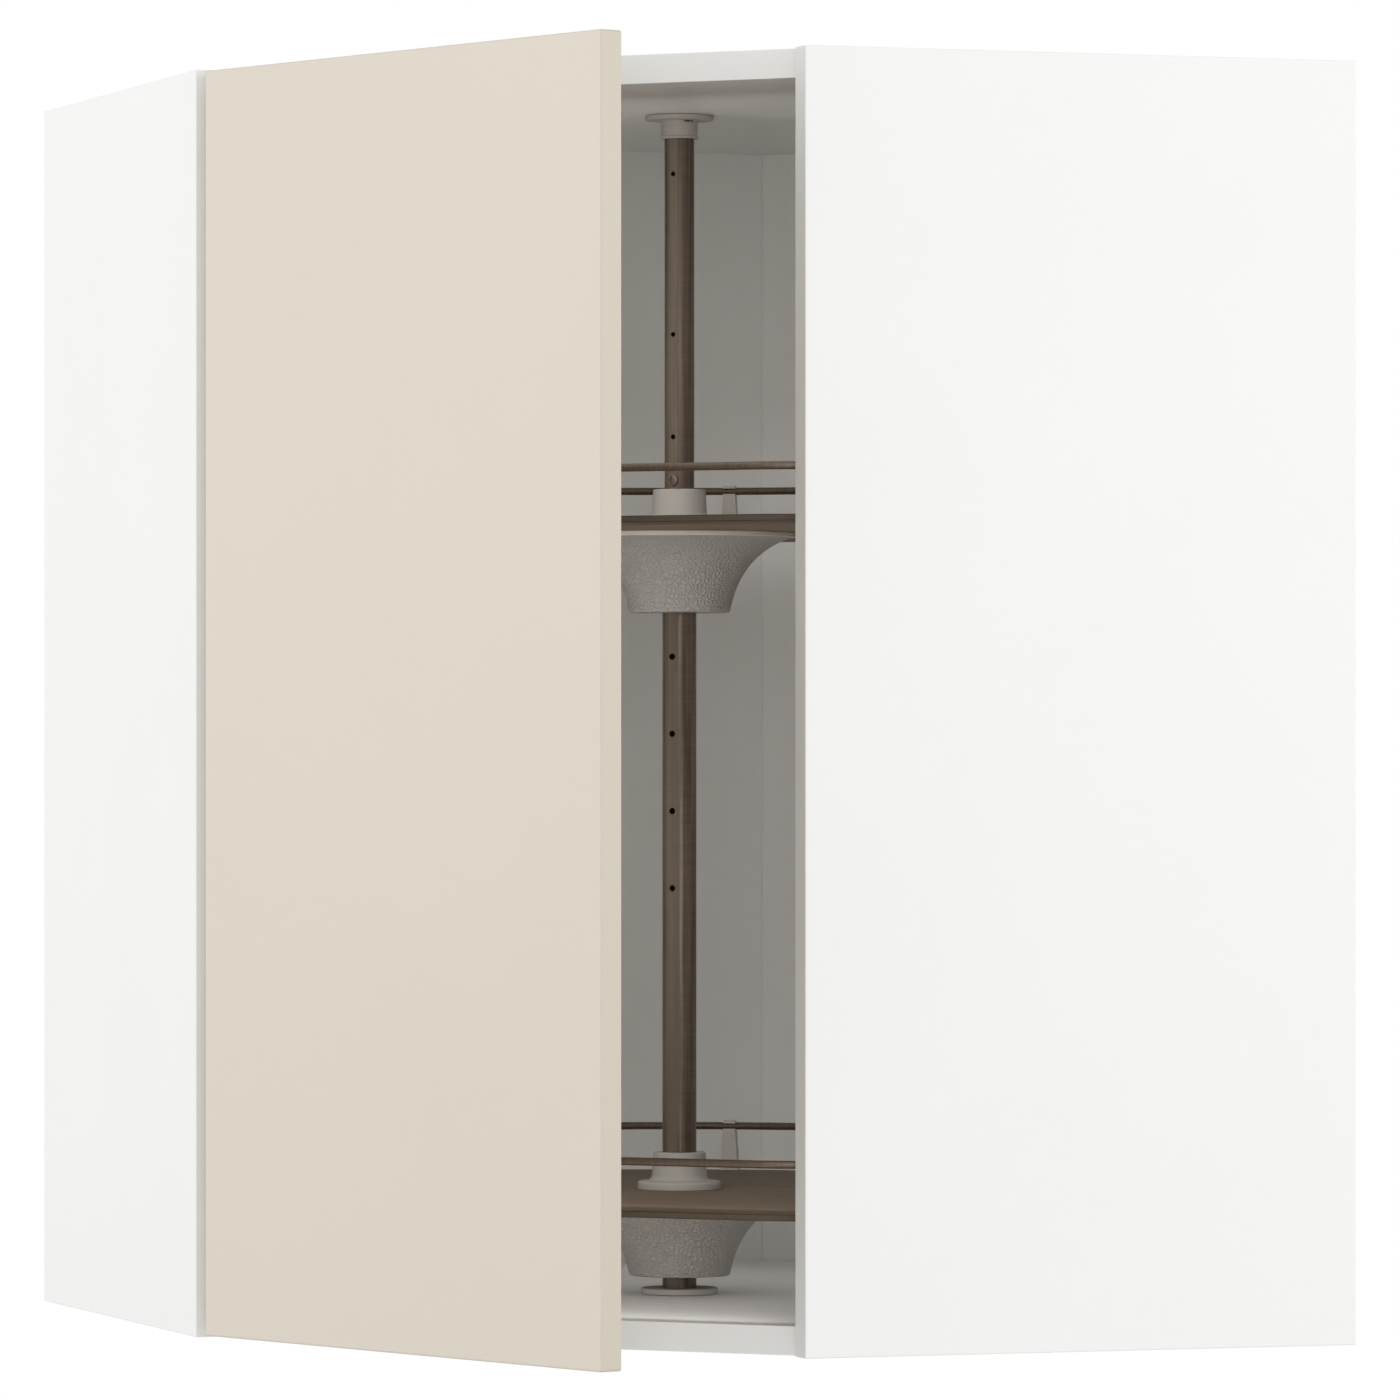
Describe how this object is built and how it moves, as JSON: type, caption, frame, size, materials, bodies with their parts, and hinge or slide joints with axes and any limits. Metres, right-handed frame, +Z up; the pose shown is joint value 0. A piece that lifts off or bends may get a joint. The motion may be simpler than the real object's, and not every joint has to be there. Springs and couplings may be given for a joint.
{
  "type": "corner carousel cabinet",
  "caption": "Diagonal corner wall cabinet whose plain door hangs on cup hinges, with railed D-shaped trays that turn on a telescopic post inside",
  "frame": {"origin": "on the carousel axis, in the plane of the underside of the cabinet", "axes": "+Z up; the two room walls are behind the cabinet at +X and +Y, and the door faces the -X -Y diagonal"},
  "size_m": [0.6652, 0.7489, 0.8],
  "materials": {
    "white_board": "matt white foil on chipboard",
    "white_back": "white painted fibreboard",
    "beige_front": "matt beige lacquered fibreboard",
    "bronze": "semi-gloss bronze brown",
    "brown_tray": "glossy dark brown sheet",
    "grey_plastic": "warm grey moulding with a pebbled grain",
    "steel": "nickel-plated steel"
  },
  "bodies": {
    "carcass": {"side_panel_left": "white_board", "side_panel_right": "white_board", "top_panel": "white_board", "bottom_panel": "white_board", "back_panel_left": "white_back", "back_panel_right": "white_back", "back_panel_corner": "white_back", "hanging_bracket_left": "steel", "hanging_bracket_right": "steel", "lower_hinge_mounting_plate": "steel", "lower_hinge_arm": "steel", "lower_hinge_arm_pin": "steel", "lower_hinge_plate_screw_low": "steel", "lower_hinge_plate_screw_high": "steel", "upper_hinge_mounting_plate": "steel", "upper_hinge_arm": "steel", "upper_hinge_arm_pin": "steel", "upper_hinge_plate_screw_low": "steel", "upper_hinge_plate_screw_high": "steel", "lower_tube": "bronze", "upper_tube": "bronze", "locking_screw": "steel", "top_flange": "grey_plastic", "bottom_flange": "grey_plastic", "lower_stop_ring": "grey_plastic", "upper_stop_ring": "grey_plastic"},
    "hinge_links": {"lower_hinge_link": "steel", "upper_hinge_link": "steel"},
    "door": {"door": "beige_front", "lower_hinge_cup": "steel", "lower_hinge_cup_pin": "steel", "lower_hinge_cup_screw_low": "steel", "lower_hinge_cup_screw_high": "steel", "upper_hinge_cup": "steel", "upper_hinge_cup_pin": "steel", "upper_hinge_cup_screw_low": "steel", "upper_hinge_cup_screw_high": "steel"},
    "upper_tray": {"upper_tray": "brown_tray", "upper_rail": "bronze", "upper_hub_sleeve": "grey_plastic", "upper_hub_bell": "grey_plastic", "upper_rail_clip_1": "grey_plastic", "upper_rail_clip_2": "grey_plastic", "upper_rail_clip_3": "grey_plastic", "upper_rail_clip_4": "grey_plastic", "upper_rail_clip_5": "grey_plastic", "upper_rail_clip_6": "grey_plastic"},
    "lower_tray": {"lower_tray": "brown_tray", "lower_rail": "bronze", "lower_hub_sleeve": "grey_plastic", "lower_hub_bell": "grey_plastic", "lower_rail_clip_1": "grey_plastic", "lower_rail_clip_2": "grey_plastic", "lower_rail_clip_3": "grey_plastic", "lower_rail_clip_4": "grey_plastic", "lower_rail_clip_5": "grey_plastic", "lower_rail_clip_6": "grey_plastic"}
  },
  "joints": [
    {"name": "link_swing", "type": "hinge", "parent": "carcass", "child": "hinge_links", "pos_m": [-0.28709, -0.06497, 0.4], "axis": [0, 0, -1], "range_deg": [-28.4, 8.4]},
    {"name": "door_swing", "type": "hinge", "parent": "hinge_links", "child": "door", "pos_m": [-0.31834, -0.05118, 0.4], "axis": [0, 0, -1], "range_deg": [-33.33, 113.33]},
    {"name": "lower_tray_spin", "type": "hinge", "parent": "carcass", "child": "lower_tray", "pos_m": [0, 0, 0.086], "axis": [0, 0, 1], "continuous": true},
    {"name": "upper_tray_spin", "type": "hinge", "parent": "carcass", "child": "upper_tray", "pos_m": [0, 0, 0.5155], "axis": [0, 0, 1], "continuous": true}
  ],
  "couplings": [
    {"joint": "link_swing", "follows": "door_swing", "ratio": -0.25}
  ]
}
